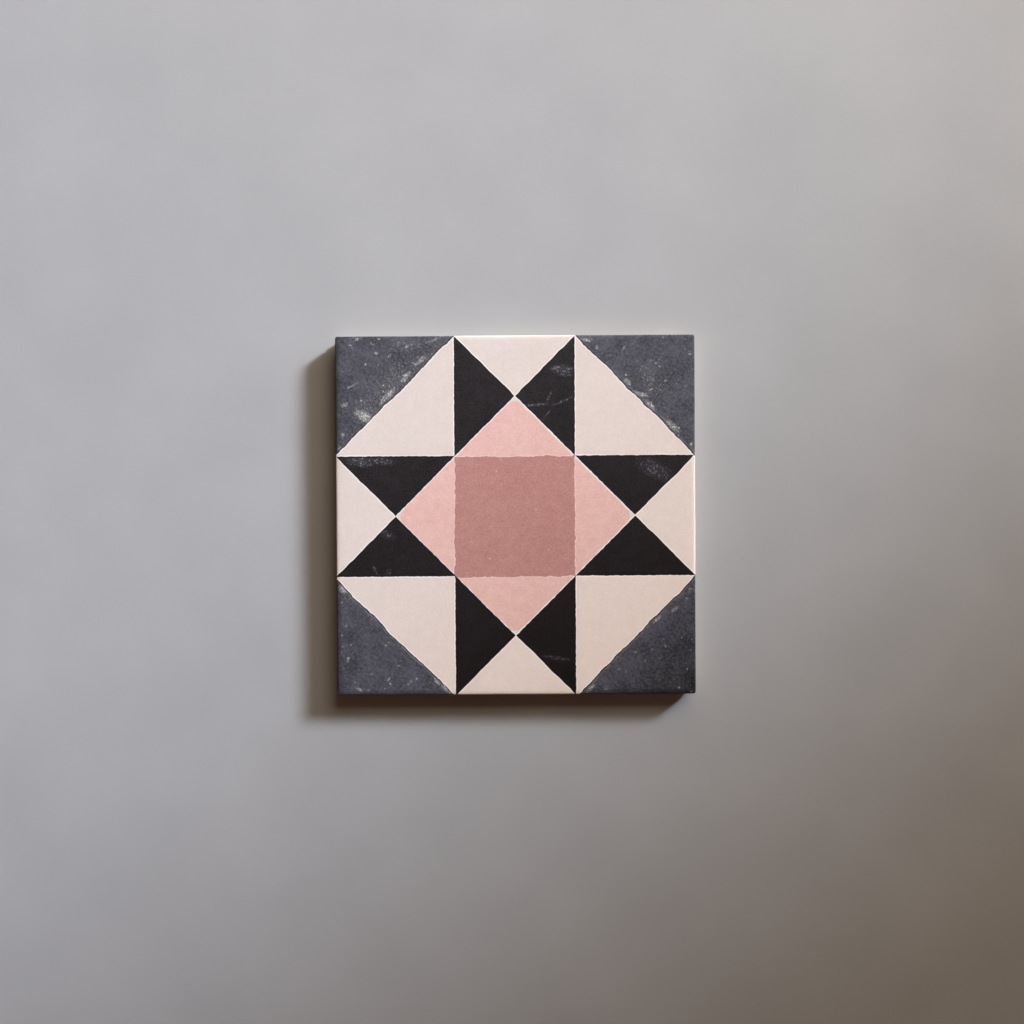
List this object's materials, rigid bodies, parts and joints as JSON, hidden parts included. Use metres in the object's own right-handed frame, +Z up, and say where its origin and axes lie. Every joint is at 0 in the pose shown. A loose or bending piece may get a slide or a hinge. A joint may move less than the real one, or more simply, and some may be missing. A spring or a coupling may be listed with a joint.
{
  "type": "victorian tile",
  "caption": "Square pressed ceramic floor tile with a traditional eight-point star pattern on its matt face, softly rounded edges and a keyed back.",
  "frame": {"origin": "centre of the back's rest plane, which is the plane of the rib tops", "axes": "+Z is up through the patterned face, +X to the right and +Y to the top of the face as pictured"},
  "size_m": [0.2, 0.2, 0.01],
  "materials": {
    "tile_body": "fired clay body with a matt printed glaze on the face: cream, black, slate grey, light pink and rose"
  },
  "bodies": {
    "root": {"tile_body": "tile_body"}
  },
  "joints": []
}
